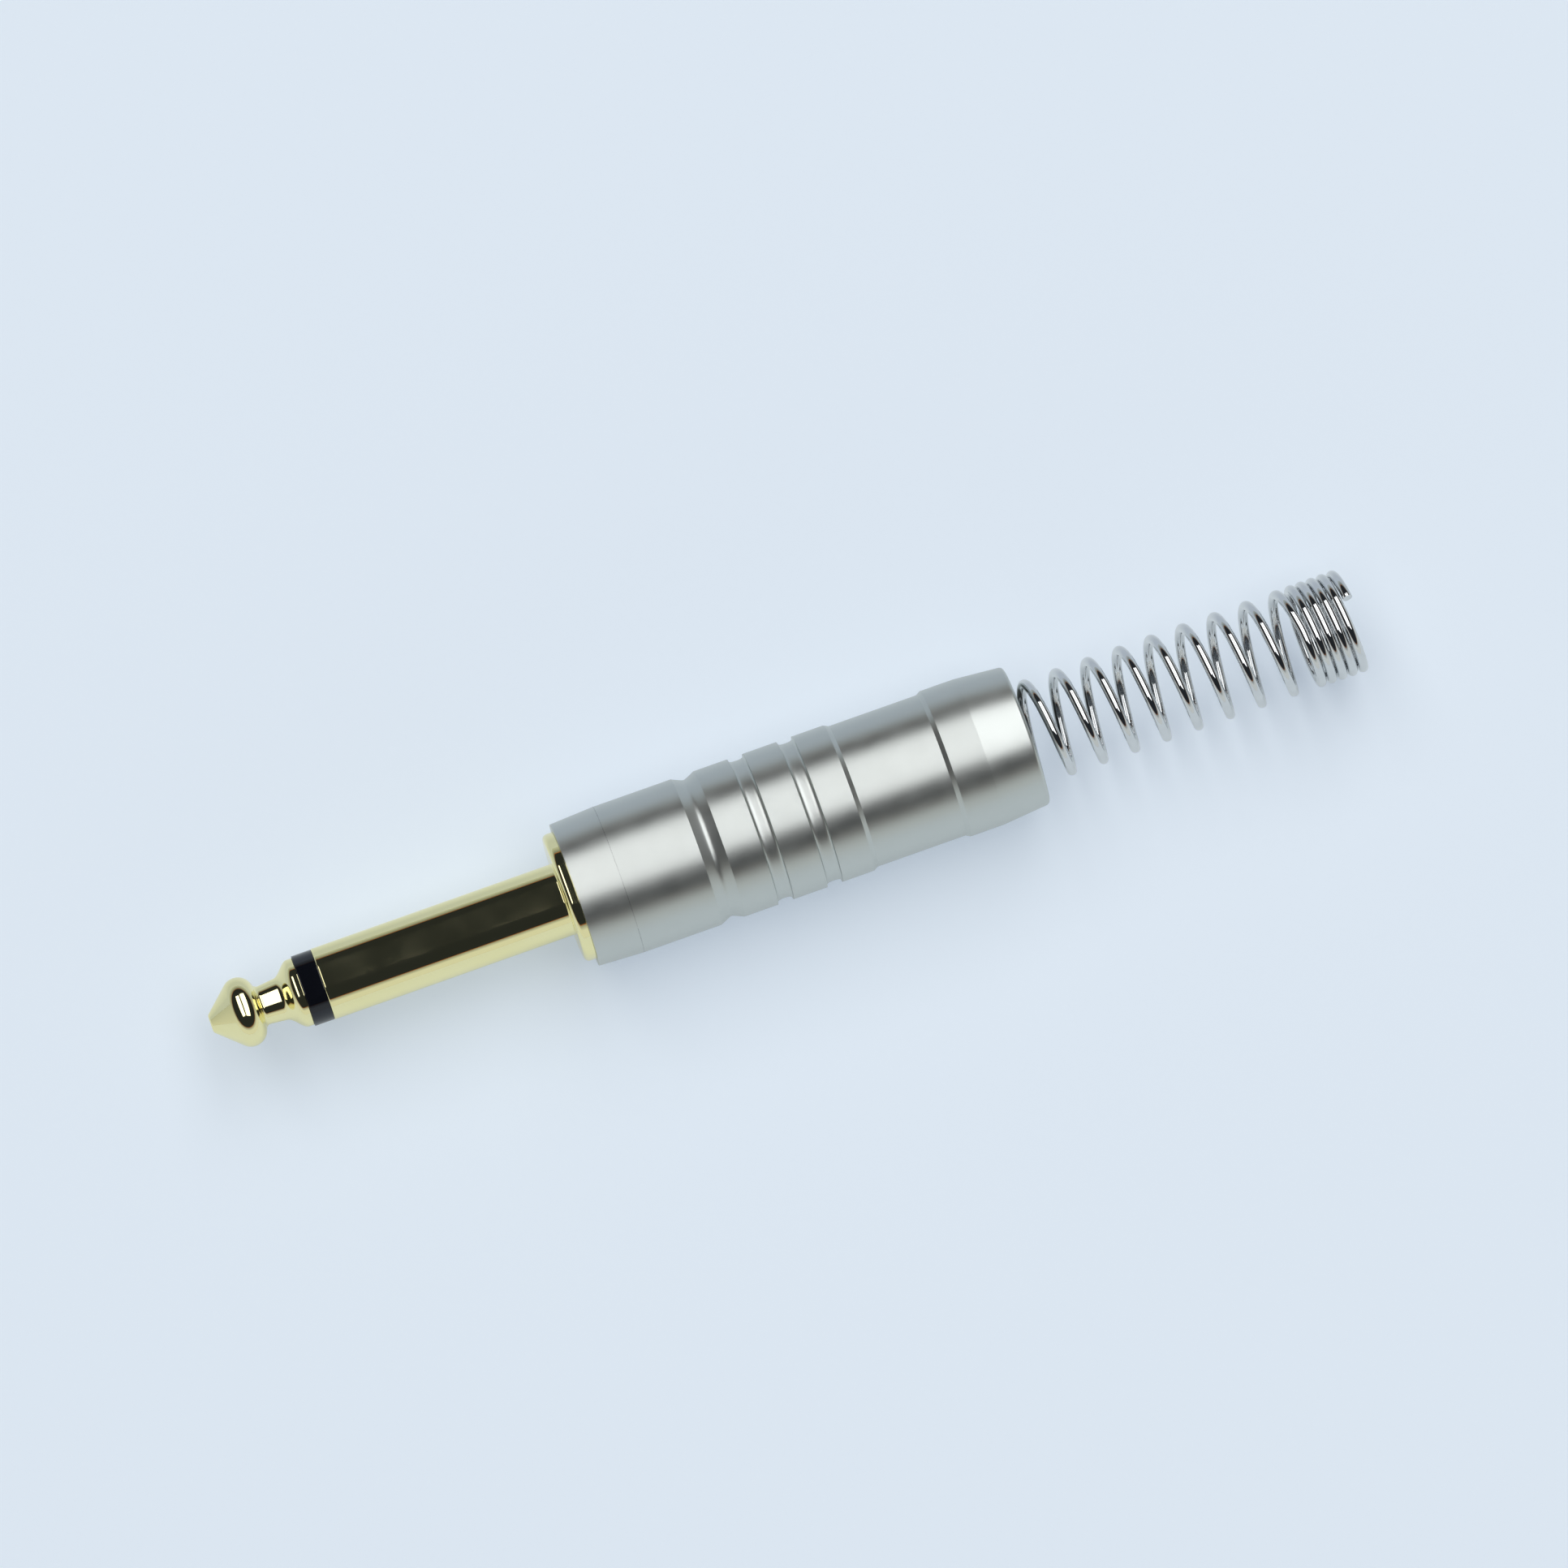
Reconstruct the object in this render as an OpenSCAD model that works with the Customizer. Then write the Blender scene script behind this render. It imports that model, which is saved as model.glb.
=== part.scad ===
// Mono 6.35 mm jack plug with a screw-on metal shell and a coil spring that guards the cable.
// The axis lies along X. The origin is on the axis at the collar's front face, where the sleeve
// begins: the tip points to -X and the cable leaves at +X. The plug lies on its side, as put down.

/* [Tip] */
// Distance from the collar's front face to the point of the tip
plug_length = 31.7; // [30.5:0.1:33]
// Diameter of the small flat at the point
point_d = 1.2; // [0.8:0.1:1.4]
// Radius of the rounded edge of the point
point_edge_r = 0.35; // [0.2:0.05:0.5]
// Angle between the point's cone and the axis
point_angle = 42.5; // [38:0.5:46]
// Diameter of the ball behind the point
ball_d = 6.1; // [5.8:0.05:6.2]
// Radius of the ball's rounded edge
ball_edge_r = 1.4; // [1.1:0.05:1.5]
// Distance from the point to the ball's widest place
ball_back = 3.04; // [2.9:0.02:3.3]
// Slope of the ball's back where it runs into the neck
ball_back_angle = 15; // [8:1:25]
// Diameter of the neck at its thin end
neck_d = 3.4; // [3.2:0.1:3.6]
// Diameter of the neck where it begins to flare
neck_rear_d = 3.7; // [3.6:0.05:4]
// Length of the flare from the neck to the rim
flare_length = 1.65; // [1.4:0.05:1.9]
// Width of the rim that meets the insulating ring
rim_w = 0.45; // [0.3:0.05:0.6]
// Diameter of the rim
rim_d = 6; // [5.8:0.05:6]
// Diameter of the rod that carries the tip through the sleeve
rod_d = 2.4; // [2.2:0.1:2.8]
// Thickness of the rod's riveted rear head
rivet_t = 0.7; // [0.5:0.1:1]
// Diameter of the rod's riveted rear head
rivet_d = 3.6; // [3.4:0.1:4]

/* [Sleeve] */
// Outer diameter of the sleeve contact
sleeve_d = 6.35; // [6.3:0.01:6.4]
// Length of the sleeve contact in front of the collar
sleeve_length = 21.65; // [21:0.05:22.2]
// Bore of the sleeve, which holds the insulating tube
sleeve_bore_d = 4.4; // [4.2:0.1:4.6]
// Bevel at the sleeve's front edge
sleeve_bevel = 0.12; // [0.05:0.01:0.2]
// Width of the visible part of the insulating ring
ring_w = 1.75; // [1.5:0.05:2]
// Diameter of the insulating ring
ring_d = 6.27; // [6.1:0.01:6.3]
// Depth of the ring's spigot inside the sleeve
ring_spigot = 1.4; // [1:0.1:2]
// Diameter of the collar
collar_d = 11.4; // [11.2:0.1:11.8]
// Thickness of the collar
collar_t = 1.03; // [0.9:0.01:1.4]
// Radius of the rounded front edge of the collar
collar_edge_r = 0.5; // [0.3:0.05:0.6]
// Nominal diameter of the thread that carries the shell
thread_d = 10.5; // [10.4:0.1:10.8]
// Length of the threaded body behind the collar
thread_length = 6.2; // [5.5:0.1:7]
// Width of the relief groove between the collar and the thread
relief_w = 0.7; // [0.5:0.1:1]
// Depth of the relief groove
relief_depth = 0.5; // [0.3:0.05:0.6]
// Bevel at the end of the thread
thread_bevel = 0.5; // [0.3:0.05:0.6]
// Diameter of the rear spigot that is riveted through the cable clamp
spigot_d = 5.6; // [5.3:0.1:5.7]
// How far the spigot's riveted rim spreads over the clamp
spigot_rim = 0.3; // [0.15:0.05:0.3]
// Thickness of the spigot's riveted rim
spigot_rim_t = 0.45; // [0.3:0.05:0.6]

/* [Terminals] */
// Thickness of the sheet of the cable clamp
clamp_t = 0.6; // [0.5:0.05:0.65]
// Diameter of the eye of the cable clamp
clamp_eye_d = 8.4; // [8:0.1:8.6]
// Inner radius of the folds in the sheet pieces
fold_r = 0.2; // [0.15:0.05:0.3]
// Width of the strap of the cable clamp
strap_w = 3.4; // [3:0.1:3.6]
// Width of the narrow stretches of the strap
strap_neck_w = 2.2; // [1.8:0.1:2.4]
// Length of the solder pad in the strap
pad_length = 5; // [4:0.5:6]
// Length of the cable clamp behind the threaded body
clamp_length = 22.5; // [21:0.5:24]
// Inner radius of the claws that fold over the cable
claw_r = 3.35; // [3.35:0.05:3.45]
// Width of each of the two claws along the cable
claw_w = 3.2; // [2.6:0.1:3.6]
// Gap between the two claws
claw_gap = 2.2; // [1.6:0.1:2.6]
// Angle that each side of a claw wraps up from the bottom of the clamp
claw_wrap = 118; // [105:1:125]
// Diameter of the solder holes in the tag and the clamp
solder_d = 1.5; // [1.2:0.1:1.6]
// Thickness of the flange of the rear insulating bush
bush_t = 1.1; // [0.8:0.1:1.4]
// Diameter of the flange of the rear insulating bush
bush_d = 6; // [5.6:0.1:6.2]
// Length of the bush's spigot inside the sleeve
bush_spigot = 1.3; // [1:0.1:2]
// Bevel at the corners of the clamp's pad and claws
sheet_bevel = 0.5; // [0.2:0.1:0.6]
// Thickness of the sheet of the tip's solder tag
tag_t = 0.5; // [0.4:0.05:0.6]
// Diameter of the eye of the tip's solder tag
tag_eye_d = 5.2; // [4.8:0.1:5.6]
// Width of the leg of the tip's solder tag
tag_w = 2.6; // [2.4:0.1:3]
// Length of the leg of the tip's solder tag along the plug
tag_length = 5.6; // [5:0.1:6]

/* [Shell] */
// Length of the shell
shell_length = 40.75; // [39.5:0.05:43]
// Diameter of the shell on its lands
shell_d = 13.1; // [12.9:0.05:13.6]
// Diameter of the shell at its front edge
shell_front_d = 12.7; // [12.4:0.05:12.8]
// Bevel of the shell's front edge
front_bevel = 0.12; // [0.05:0.01:0.2]
// Length of the front stretch that widens to the full diameter
front_taper = 3.95; // [3:0.05:4.5]
// Diameter of the shell at its rear edge
shell_rear_d = 12.4; // [12.3:0.05:12.7]
// Length of the rear stretch that narrows to the rear edge
rear_taper = 4.25; // [3.5:0.05:4.8]
// Radius of the rounded rear edge
rear_edge_r = 0.35; // [0.2:0.05:0.5]
// Distance from the shell's front edge to the first finger groove
groove_start = 10.97; // [10:0.01:11.5]
// Width of the first finger groove, a V with a rounded bottom
v_groove_w = 2.05; // [1.8:0.05:2.4]
// Depth of the first finger groove
v_groove_depth = 0.42; // [0.2:0.02:0.5]
// Roundness of the bottom of the first groove: 0 is a sharp V, 1 is nearly an arc
v_groove_round = 0.15; // [0.05:0.05:1]
// Width of the other two finger grooves, which have an open floor and steep walls
groove_w = 1.4; // [1.2:0.05:1.6]
// How flat the floor of these two grooves is: 2 is half an ellipse, more is flatter
groove_flat = 3; // [2:0.25:5]
// Width of the land between two finger grooves
land_w = 3.03; // [2.6:0.01:3.2]
// Depth of the other two finger grooves
groove_depth = 0.36; // [0.2:0.02:0.45]
// Width of the land between the last finger groove and the band
band_land_w = 2.85; // [2.6:0.05:3.6]
// Width of the land between the band and the rear taper
rear_land_w = 3.05; // [2:0.05:3.6]
// Diameter of the band
band_d = 12.65; // [12.4:0.05:12.8]
// Length of the sloped step at each end of the band
band_step = 0.4; // [0.2:0.05:0.5]
// Length of the thread's run-out inside the shell
thread_runout = 0.9; // [0.8:0.1:1.4]
// Diameter of the bore behind the thread
shell_bore_d = 9.8; // [9.75:0.05:9.9]
// Thickness of the lip at the shell's rear that holds the spring
lip_t = 1.6; // [1.2:0.1:2]
// Bevel at the mouth of the hole in the lip
lip_bevel = 0.3; // [0.1:0.05:0.5]

/* [Insulating sleeve] */
// Wall of the insulating sleeve round the terminals
liner_wall = 0.45; // [0.35:0.05:0.45]
// Length of the insulating sleeve
liner_length = 24; // [22:0.5:25]

/* [Spring] */
// Diameter of the wire
wire_d = 0.86; // [0.8:0.02:1]
// Outer diameter of the coils
coil_d = 9.15; // [8.8:0.05:9.2]
// Distance from one open coil to the next
open_pitch = 2.865; // [2.6:0.005:3]
// Number of open coils behind the first crest
open_turns = 8.25; // [6:0.05:9]
// Distance from one closed coil to the next, as a share of the wire's diameter
closed_share = 1.095; // [1.03:0.005:1.1]
// Number of closed coils at the cable end
closed_turns = 4.95; // [3:0.05:6]
// How far each closed coil leans forward on the side that the open coils' count starts from
closed_lean = 0.2; // [0:0.05:0.3]
// Distance from the shell's rear edge to the crest of the first open coil
first_crest = 1.2; // [1:0.05:1.6]
// Number of wide coils held behind the shell's lip
held_turns = 1.5; // [1:0.25:2]
// Share of a turn over which the held coils widen
widen_turns = 0.3; // [0.2:0.05:0.5]
// Pieces that each coil is drawn with
coil_steps = 28; // [24:4:36]
// Sides that the wire is drawn with
wire_sides = 8; // [8:1:10]

/* [Clearances] */
// Radial clearance between pieces that are fitted together for good
seat_gap = 0.05; // [0.02:0.01:0.08]
// Radial clearance of the screw thread
thread_gap = 0.05; // [0.03:0.01:0.08]
// Clearance between the shell and the loose pieces inside it
loose_gap = 0.1; // [0.06:0.01:0.12]

/* [Hidden] */
$fn = 96;

// Stations along the plug, from the tip to the cable end
tip_x = -plug_length;
ring_rear_x = -sleeve_length;
ring_front_x = ring_rear_x - ring_w;
core_front_x = ring_rear_x + ring_spigot;
shell_x = collar_t;
thread_end_x = collar_t + thread_length;
clamp_rear_x = thread_end_x + clamp_t;
spigot_end_x = clamp_rear_x + spigot_rim_t;
core_end_x = spigot_end_x - bush_spigot;
tag_x = spigot_end_x + bush_t;
tag_rear_x = tag_x + tag_t;
shell_rear_x = shell_x + shell_length;
shell_bore_x = shell_x + thread_length + thread_runout;
lip_front_x = shell_rear_x - lip_t;

// Radii that pieces share
core_r = sleeve_bore_d / 2 - seat_gap;
core_bore_r = rod_d / 2 + seat_gap;
thread_r = thread_d / 2;
shell_bore_r = shell_bore_d / 2;
liner_r = shell_bore_r - loose_gap;
lip_hole_r = coil_d / 2 + loose_gap;

// Helix of the spring: turns count from the first open crest, which faces +Y
wire_r = wire_d / 2;
coil_r = coil_d / 2 - wire_r;
held_r = shell_bore_r - loose_gap - wire_r;
closed_pitch = wire_d * closed_share;
first_crest_x = shell_rear_x + first_crest;
held_x = lip_front_x - loose_gap - wire_r;
held_turn = (held_x - first_crest_x) / open_pitch;
start_turn = held_turn - held_turns;
end_turn = open_turns + closed_turns;
full_turn = 360;
coil_count = round((end_turn - start_turn) * coil_steps);

// Points of an arc round a centre, from angle a to angle b
function arc(centre, r, a, b, steps = 8) =
    [for (i = [0:steps]) centre + r * [cos(a + (b - a) * i / steps), sin(a + (b - a) * i / steps)]];

// Points of a smooth rise from one [distance, radius] point to another, level at both ends
function rise(from, to, steps = 10) =
    [for (i = [0:steps]) [from[0] + (to[0] - from[0]) * i / steps,
                          from[1] + (to[1] - from[1]) * (1 - cos(180 * i / steps)) / 2]];

// Places across a groove from -1 to 1, closer together towards its two edges
function across(steps) = [for (i = [0:steps]) -cos(180 * i / steps)];

// Points of the V-shaped finger groove in a cylinder of radius r
function v_groove(x, r, steps = 16) =
    let (top = norm([1, v_groove_round]) - v_groove_round)
    [for (t = across(steps))
        [x + v_groove_w * (1 + t) / 2,
         r - v_groove_depth * (1 - (norm([t, v_groove_round]) - v_groove_round) / top)]];

// Points of a finger groove with an open floor and steep walls in a cylinder of radius r
function open_groove(x, r, steps = 12) =
    [for (t = across(steps))
        [x + groove_w * (1 + t) / 2,
         r - groove_depth * pow(1 - pow(abs(t), groove_flat), 1 / groove_flat)]];

// Turns an outline of [distance along the plug, radius] points round the X axis
module turned(outline) {
    rotate([0, 90, 0])
        rotate_extrude()
            polygon([for (p = outline) [p[1], p[0]]]);
}

// A straight round bar or hole along X
module bar(x, length, d) {
    translate([x, 0, 0])
        rotate([0, 90, 0])
            cylinder(d = d, h = length);
}

// A quarter bend of sheet, from the plane across the plug at x to the level z of its outer face
module fold(x, z, t, w) {
    bend_r = fold_r + t;
    centre = [x + bend_r, z + bend_r];
    translate([0, w / 2, 0])
        rotate([90, 0, 0])
            linear_extrude(height = w)
                polygon(concat(arc(centre, bend_r, 180, 270), arc(centre, fold_r, 270, 180)));
}

// The eye of a solder piece, cut off level where its fold begins
module eye(x, t, d, hole_d, level) {
    difference() {
        bar(x, t, d);
        bar(x - t, 3 * t, hole_d);
        translate([x - t, -d, level - 2 * d])
            cube([3 * t, 2 * d, 2 * d]);
    }
}

// One half of a strip's outline between two widths, with sloped shoulders: [x, half width] points
function shoulder(x, from_w, to_w) =
    [[x, from_w / 2], [x + abs(to_w - from_w) / 2, to_w / 2]];

// Mirrors one half of an outline across the X axis and closes it
function both_sides(half) =
    concat(half, [for (i = [len(half) - 1:-1:0]) [half[i][0], -half[i][1]]]);

// One claw: an open ring of sheet round the axis, with bevelled corners at its two free ends
module claw(x) {
    out_r = claw_r + clamp_t;
    bevel_side = sheet_bevel * sqrt(2);
    difference() {
        translate([x, 0, 0])
            rotate([0, 90, 0])
                rotate([0, 0, -claw_wrap])
                    rotate_extrude(angle = 2 * claw_wrap)
                        translate([claw_r, 0])
                            square([clamp_t, claw_w]);
        for (side = [-1, 1], corner_x = [x, x + claw_w])
            rotate([side * claw_wrap, 0, 0])
                translate([corner_x, 0, -out_r])
                    rotate([0, 0, 45])
                        cube([bevel_side, bevel_side, 2 * out_r], center = true);
    }
}

// Tip and rod, turned from one bar: a blunt point, the ball that the socket's contact drops behind,
// the neck, a flare up to the rim, and the rod, whose rear end is riveted over the solder tag
module tip_contact() {
    ball_r = ball_d / 2;
    neck_r = neck_d / 2;
    back_drop = 1 - sin(ball_back_angle);
    ball_fillet_r = (ball_r - neck_r) / back_drop - ball_edge_r;
    edge_centre = [tip_x + ball_back, ball_r - ball_edge_r];
    neck_x = edge_centre[0] + (ball_edge_r + ball_fillet_r) * cos(ball_back_angle);
    flare_x = ring_front_x - rim_w - flare_length;
    color("khaki")
        turned(concat(
            [[tip_x, 0]],
            arc([tip_x + point_edge_r, point_d / 2], point_edge_r, 180, 90 + point_angle, 4),
            arc(edge_centre, ball_edge_r, 90 + point_angle, ball_back_angle, 14),
            arc([neck_x, neck_r + ball_fillet_r], ball_fillet_r, 180 + ball_back_angle, 270, 5),
            rise([flare_x, neck_rear_d / 2], [ring_front_x - rim_w, rim_d / 2]),
            [[ring_front_x, rim_d / 2], [ring_front_x, rod_d / 2]],
            [[tag_rear_x, rod_d / 2], [tag_rear_x, rivet_d / 2]],
            [[tag_rear_x + rivet_t / 2, rivet_d / 2], [tag_rear_x + rivet_t, rod_d / 2]],
            [[tag_rear_x + rivet_t, 0]]
        ));
}

// Moulded insulating ring between tip and sleeve, with a spigot that centres it in the sleeve
module tip_ring() {
    color("black")
        difference() {
            union() {
                bar(ring_front_x, ring_w, ring_d);
                bar(ring_rear_x, ring_spigot, 2 * core_r);
            }
            bar(ring_front_x - ring_w, 2 * ring_w + 2 * ring_spigot, 2 * core_bore_r);
        }
}

// Insulating tube that keeps the tip's rod off the sleeve
module core_tube() {
    color("ivory")
        difference() {
            bar(core_front_x, core_end_x - core_front_x, 2 * core_r);
            bar(core_front_x - core_r, core_end_x - core_front_x + 2 * core_r, 2 * core_bore_r);
        }
}

// Sleeve contact, collar and threaded body, turned from one bar, with a rear spigot that is riveted
// over the cable clamp
module ground_sleeve() {
    sleeve_r = sleeve_d / 2;
    collar_r = collar_d / 2;
    spigot_r = spigot_d / 2;
    bore_r = sleeve_bore_d / 2;
    color("khaki")
        turned(concat(
            [[ring_rear_x, bore_r], [ring_rear_x, sleeve_r - sleeve_bevel]],
            [[ring_rear_x + sleeve_bevel, sleeve_r], [0, sleeve_r]],
            arc([collar_edge_r, collar_r - collar_edge_r], collar_edge_r, 180, 90, 5),
            [[collar_t, collar_r], [collar_t, thread_r - relief_depth]],
            [[collar_t + relief_w - relief_depth / 2, thread_r - relief_depth]],
            [[collar_t + relief_w + relief_depth / 2, thread_r]],
            [[thread_end_x - thread_bevel, thread_r], [thread_end_x, thread_r - thread_bevel]],
            [[thread_end_x, spigot_r], [clamp_rear_x, spigot_r]],
            [[clamp_rear_x, spigot_r + spigot_rim]],
            [[clamp_rear_x + spigot_rim_t / 2, spigot_r + spigot_rim]],
            [[spigot_end_x, spigot_r], [spigot_end_x, bore_r]]
        ));
}

// Folded sheet clamp: an eye under the riveted rim, a strap with a solder pad, and two open claws
// that are pressed round the cable
module cable_clamp() {
    strap_z = -(claw_r + clamp_t);
    fold_end_x = clamp_rear_x + fold_r;
    clamp_end_x = thread_end_x + clamp_length;
    claw_2_x = clamp_end_x - claw_w;
    claw_1_x = claw_2_x - claw_gap - claw_w;
    pad_x = (clamp_rear_x + claw_1_x - pad_length) / 2;
    shoulder_w = (strap_w - strap_neck_w) / 2;
    color("silver") {
        eye(thread_end_x, clamp_t, clamp_eye_d, spigot_d + 2 * seat_gap, fold_r - claw_r);
        fold(thread_end_x, strap_z, clamp_t, strap_w);
        difference() {
            translate([0, 0, strap_z])
                linear_extrude(height = clamp_t)
                    polygon(both_sides(concat(
                        [[fold_end_x, strap_w / 2]],
                        shoulder(fold_end_x + fold_r, strap_w, strap_neck_w),
                        shoulder(pad_x - shoulder_w, strap_neck_w, strap_w),
                        shoulder(pad_x + pad_length, strap_w, strap_neck_w),
                        [[clamp_end_x, strap_neck_w / 2]]
                    )));
            translate([pad_x + pad_length / 2, 0, strap_z - clamp_t])
                cylinder(d = solder_d, h = 3 * clamp_t);
        }
        claw(claw_1_x);
        claw(claw_2_x);
    }
}

// Insulating bush that keeps the tip's solder tag off the sleeve and the clamp
module rear_bush() {
    color("dimgray")
        difference() {
            union() {
                bar(spigot_end_x, bush_t, bush_d);
                bar(core_end_x, bush_spigot, 2 * core_r);
            }
            bar(core_end_x - bush_t, bush_spigot + 3 * bush_t, 2 * core_bore_r);
        }
}

// Folded solder tag of the tip, held under the rod's riveted head, with a rounded end
module tip_tag() {
    leg_z = tag_eye_d / 2;
    end_centre_x = tag_x + tag_length - tag_w / 2;
    fold_end_x = tag_rear_x + fold_r;
    color("silver")
        mirror([0, 0, 1]) {
            eye(tag_x, tag_t, tag_eye_d, rod_d + 2 * seat_gap, fold_r + tag_t - leg_z);
            fold(tag_x, -leg_z, tag_t, tag_w);
            difference() {
                union() {
                    translate([fold_end_x, -tag_w / 2, -leg_z])
                        cube([end_centre_x - fold_end_x, tag_w, tag_t]);
                    translate([end_centre_x, 0, -leg_z])
                        cylinder(d = tag_w, h = tag_t);
                }
                translate([end_centre_x, 0, -leg_z - tag_t])
                    cylinder(d = solder_d, h = 3 * tag_t);
            }
        }
}

// Loose insulating sleeve between the terminals and the shell
module insulating_sleeve() {
    liner_x = shell_bore_x + loose_gap;
    color("gainsboro")
        difference() {
            bar(liner_x, liner_length, 2 * liner_r);
            bar(liner_x - liner_wall, liner_length + 2 * liner_wall, 2 * (liner_r - liner_wall));
        }
}

// Screw-on shell: a slight taper to the front, three finger grooves, a narrower band, and a rear
// stretch that narrows to a rounded edge round the hole for the spring
module shell() {
    land_r = shell_d / 2;
    front_r = shell_front_d / 2;
    rear_r = shell_rear_d / 2;
    band_r = band_d / 2;
    thread_hole_r = thread_r + thread_gap;
    taper_x = shell_rear_x - rear_taper;
    taper_angle = atan((land_r - rear_r) / rear_taper);
    groove_1_x = shell_x + groove_start;
    groove_2_x = groove_1_x + v_groove_w + land_w;
    groove_3_x = groove_2_x + groove_w + land_w;
    band_x = groove_3_x + groove_w + band_land_w;
    band_end_x = taper_x - rear_land_w;
    color("lightgray")
        turned(concat(
            [[shell_x, thread_hole_r], [shell_x, front_r - front_bevel]],
            [[shell_x + front_bevel, front_r], [shell_x + front_taper, land_r]],
            v_groove(groove_1_x, land_r),
            open_groove(groove_2_x, land_r),
            open_groove(groove_3_x, land_r),
            [[band_x, land_r], [band_x + band_step, band_r]],
            [[band_end_x - band_step, band_r], [band_end_x, land_r]],
            [[taper_x, land_r]],
            arc([shell_rear_x - rear_edge_r, rear_r - rear_edge_r], rear_edge_r,
                90 - taper_angle, 0, 6),
            [[shell_rear_x, lip_hole_r + lip_bevel], [shell_rear_x - lip_bevel, lip_hole_r]],
            [[lip_front_x, lip_hole_r], [lip_front_x, shell_bore_r]],
            [[shell_bore_x, shell_bore_r], [shell_bore_x, thread_hole_r]]
        ));
}

// How far the wire lies forward at a turn because the closed coils lean, which begins one turn
// before them
function coil_lean(turn) =
    closed_lean * min(1, max(0, turn - open_turns + 1)) * cos(full_turn * turn);

// Place along the plug of the spring's wire at a turn: close coils held in the shell, open coils,
// and close coils again at the cable end
function coil_x(turn) =
    turn < held_turn ? held_x + (turn - held_turn) * closed_pitch
    : first_crest_x + min(turn, open_turns) * open_pitch
        + max(0, turn - open_turns) * closed_pitch - coil_lean(turn);

// Radius of the wire's centre at a turn: the held coils are wider than the hole in the lip
function coil_radius(turn) =
    let (u = min(1, max(0, (held_turn - turn) / widen_turns)))
    coil_r + (held_r - coil_r) * (1 - cos(180 * u)) / 2;

// One ring of points round the wire at a turn, square to the wire
function coil_ring(turn) =
    let (
        angle = full_turn * turn,
        out = [0, cos(angle), sin(angle)],
        r = coil_radius(turn),
        step = 0.5 / coil_steps,
        lead = (coil_x(turn + step) - coil_x(turn - step)) / (2 * step) / (2 * PI * r),
        along = [lead, -sin(angle), cos(angle)] / sqrt(1 + lead * lead),
        side = cross(along, out)
    )
    [for (i = [0:wire_sides - 1])
        [coil_x(turn), 0, 0] + r * out
        + wire_r * (cos(full_turn * i / wire_sides) * out + sin(full_turn * i / wire_sides) * side)];

// Cable guard: a coil spring of round wire with a right-hand helix, held behind the shell's lip
module tail_spring() {
    points = [for (i = [0:coil_count])
        each coil_ring(start_turn + (end_turn - start_turn) * i / coil_count)];
    start_cap = [[for (i = [0:wire_sides - 1]) i]];
    end_cap = [[for (i = [wire_sides - 1:-1:0]) coil_count * wire_sides + i]];
    walls = [for (ring = [0:coil_count - 1], i = [0:wire_sides - 1])
        let (next = (i + 1) % wire_sides, a = ring * wire_sides, b = a + wire_sides)
        [a + i, b + i, b + next, a + next]];
    color("silver")
        polyhedron(points, concat(start_cap, walls, end_cap), convexity = 20);
}

tip_contact();
tip_ring();
core_tube();
ground_sleeve();
cable_clamp();
rear_bush();
tip_tag();
insulating_sleeve();
shell();
tail_spring();
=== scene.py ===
# A mono 6.35 mm jack plug with a screw-on satin shell and a coil spring that guards the cable,
# lying on its side on a pale table top. Lengths are written in millimetres and turned into
# metres by mm. The plug's axis is the X axis, with the tip towards -X.

import math

import bpy
from mathutils import Matrix, Vector


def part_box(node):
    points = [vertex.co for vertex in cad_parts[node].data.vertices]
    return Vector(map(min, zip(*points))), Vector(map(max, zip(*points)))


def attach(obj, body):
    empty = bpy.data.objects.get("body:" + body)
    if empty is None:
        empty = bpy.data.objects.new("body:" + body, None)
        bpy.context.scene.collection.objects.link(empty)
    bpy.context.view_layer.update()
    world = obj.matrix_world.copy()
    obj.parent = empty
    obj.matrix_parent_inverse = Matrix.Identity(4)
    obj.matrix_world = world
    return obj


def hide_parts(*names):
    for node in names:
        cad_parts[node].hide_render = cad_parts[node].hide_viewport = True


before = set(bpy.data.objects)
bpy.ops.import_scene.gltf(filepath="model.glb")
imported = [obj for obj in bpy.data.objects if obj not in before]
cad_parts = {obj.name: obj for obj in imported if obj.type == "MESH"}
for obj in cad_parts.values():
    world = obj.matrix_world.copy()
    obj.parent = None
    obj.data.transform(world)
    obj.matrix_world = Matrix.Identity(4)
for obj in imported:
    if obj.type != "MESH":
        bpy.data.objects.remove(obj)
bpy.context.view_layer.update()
mm = 0.001

# Studio: a pale table top in a room that is dark overhead and bright along the horizon, with soft
# boxes above the plug. The camera looks down on the plug almost squarely, a little from the side
# and from the tip's end.


class Signal:
    """A number or a vector in a material. Python's operators add the Math nodes."""

    def __init__(self, finish, socket):
        self.finish = finish
        self.socket = socket

    def math(self, operation, first, second):
        return self.finish.node("Math", {"operation": operation}, {0: first, 1: second})

    def __add__(self, other):
        return self.math("ADD", self, other)

    def __sub__(self, other):
        return self.math("SUBTRACT", self, other)

    def __rsub__(self, other):
        return self.math("SUBTRACT", other, self)

    def __mul__(self, other):
        return self.math("MULTIPLY", self, other)

    __radd__ = __add__
    __rmul__ = __mul__


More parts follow.
